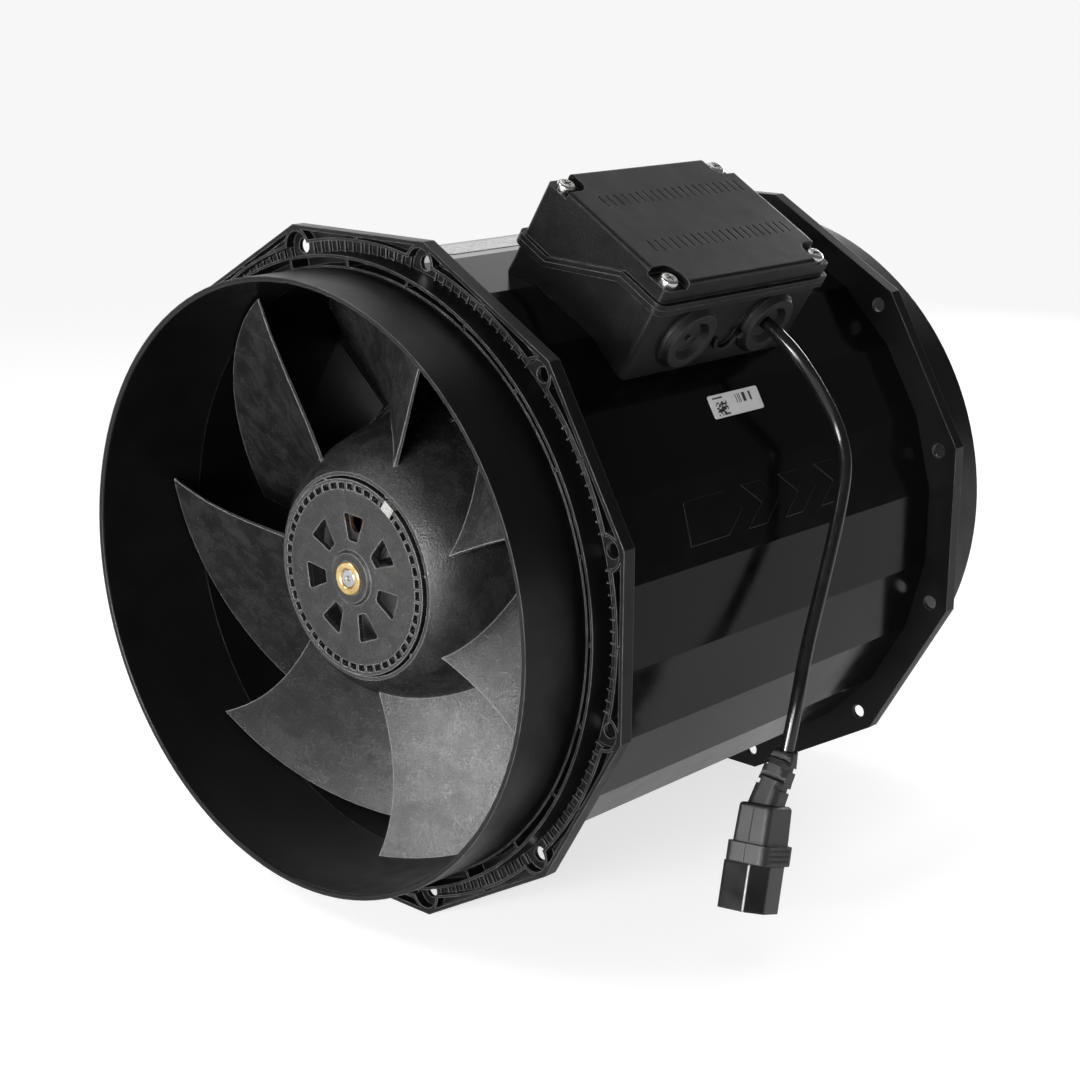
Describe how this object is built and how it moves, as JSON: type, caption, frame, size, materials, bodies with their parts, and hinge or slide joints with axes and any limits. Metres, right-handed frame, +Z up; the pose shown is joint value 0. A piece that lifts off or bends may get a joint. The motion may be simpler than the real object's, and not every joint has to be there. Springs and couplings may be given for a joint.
{
  "type": "inline duct fan",
  "caption": "Mixed-flow inline fan for round ducts: flanged spigot at each end, gloss black polygonal casing, black impeller, side terminal box and a short cord with an appliance plug",
  "frame": {"origin": "on the duct axis, at the mouth of the inlet spigot", "axes": "+Y along the airflow from the inlet to the outlet, +Z up, +X to the right seen from the inlet"},
  "size_m": [0.38, 0.382, 0.3757],
  "materials": {
    "cap_plastic": "satin black moulding",
    "shell_plastic": "high gloss black",
    "inner_plastic": "satin black",
    "impeller_plastic": "glass-fibre filled, faintly mottled",
    "box_plastic": "fine texture",
    "black_rubber": "matt",
    "zinc_steel": "zinc plated",
    "shaft_steel": "ground",
    "core_steel": "laminated",
    "cast_aluminium": "cast",
    "copper_wire": "enamelled copper",
    "bush_brass": "turned",
    "magnet": "sintered",
    "board": "printed circuit board",
    "cord_pvc": "smooth flexible sheath",
    "plug_plastic": "fine texture",
    "shroud_plastic": "gloss",
    "pin_brass": "nickel plated",
    "white_label": "plain label",
    "grey_label": "plain label",
    "nylon": "natural nylon"
  },
  "bodies": {
    "casing": {"inlet_cap": "cap_plastic", "outlet_cap": "cap_plastic", "casing_shell": "shell_plastic", "impeller_tube": "inner_plastic", "outlet_tube": "inner_plastic", "vane_ring": "inner_plastic", "guide_vanes": "inner_plastic", "vane_hub": "inner_plastic", "motor_flange": "cast_aluminium", "motor_screws": "zinc_steel", "bearing_tube": "cast_aluminium", "front_bearing": "shaft_steel", "rear_bearing": "shaft_steel", "stator_core": "core_steel", "stator_windings": "copper_wire", "electronics_housing": "cast_aluminium", "control_board": "board", "tail_cover": "inner_plastic", "tail_screws": "zinc_steel", "terminal_box_base": "box_plastic", "terminal_box_lid": "box_plastic", "box_seal": "black_rubber", "lid_screws": "zinc_steel", "box_screws": "zinc_steel", "blank_grommet": "black_rubber", "cable_grommet": "black_rubber", "lead_bush": "black_rubber", "motor_lead": "cord_pvc", "terminal_block": "nylon", "terminal_clamp_screws": "zinc_steel", "supply_tail": "cord_pvc", "cord_clamp": "nylon", "cord_clamp_screws": "zinc_steel", "serial_label": "white_label", "rating_label": "grey_label", "power_cord": "cord_pvc", "cord_strain_relief": "plug_plastic", "plug_body": "plug_plastic", "plug_shroud": "shroud_plastic", "plug_pins": "pin_brass"},
    "rotor": {"impeller": "impeller_plastic", "shaft_bush": "bush_brass", "motor_shaft": "shaft_steel", "shaft_circlip": "zinc_steel", "balance_clip": "zinc_steel", "rotor_cup": "core_steel", "magnet_ring": "magnet"}
  },
  "joints": [
    {"name": "impeller_spin", "type": "hinge", "parent": "casing", "child": "rotor", "pos_m": [0, 0, 0], "axis": [0, 1, 0], "continuous": true}
  ]
}
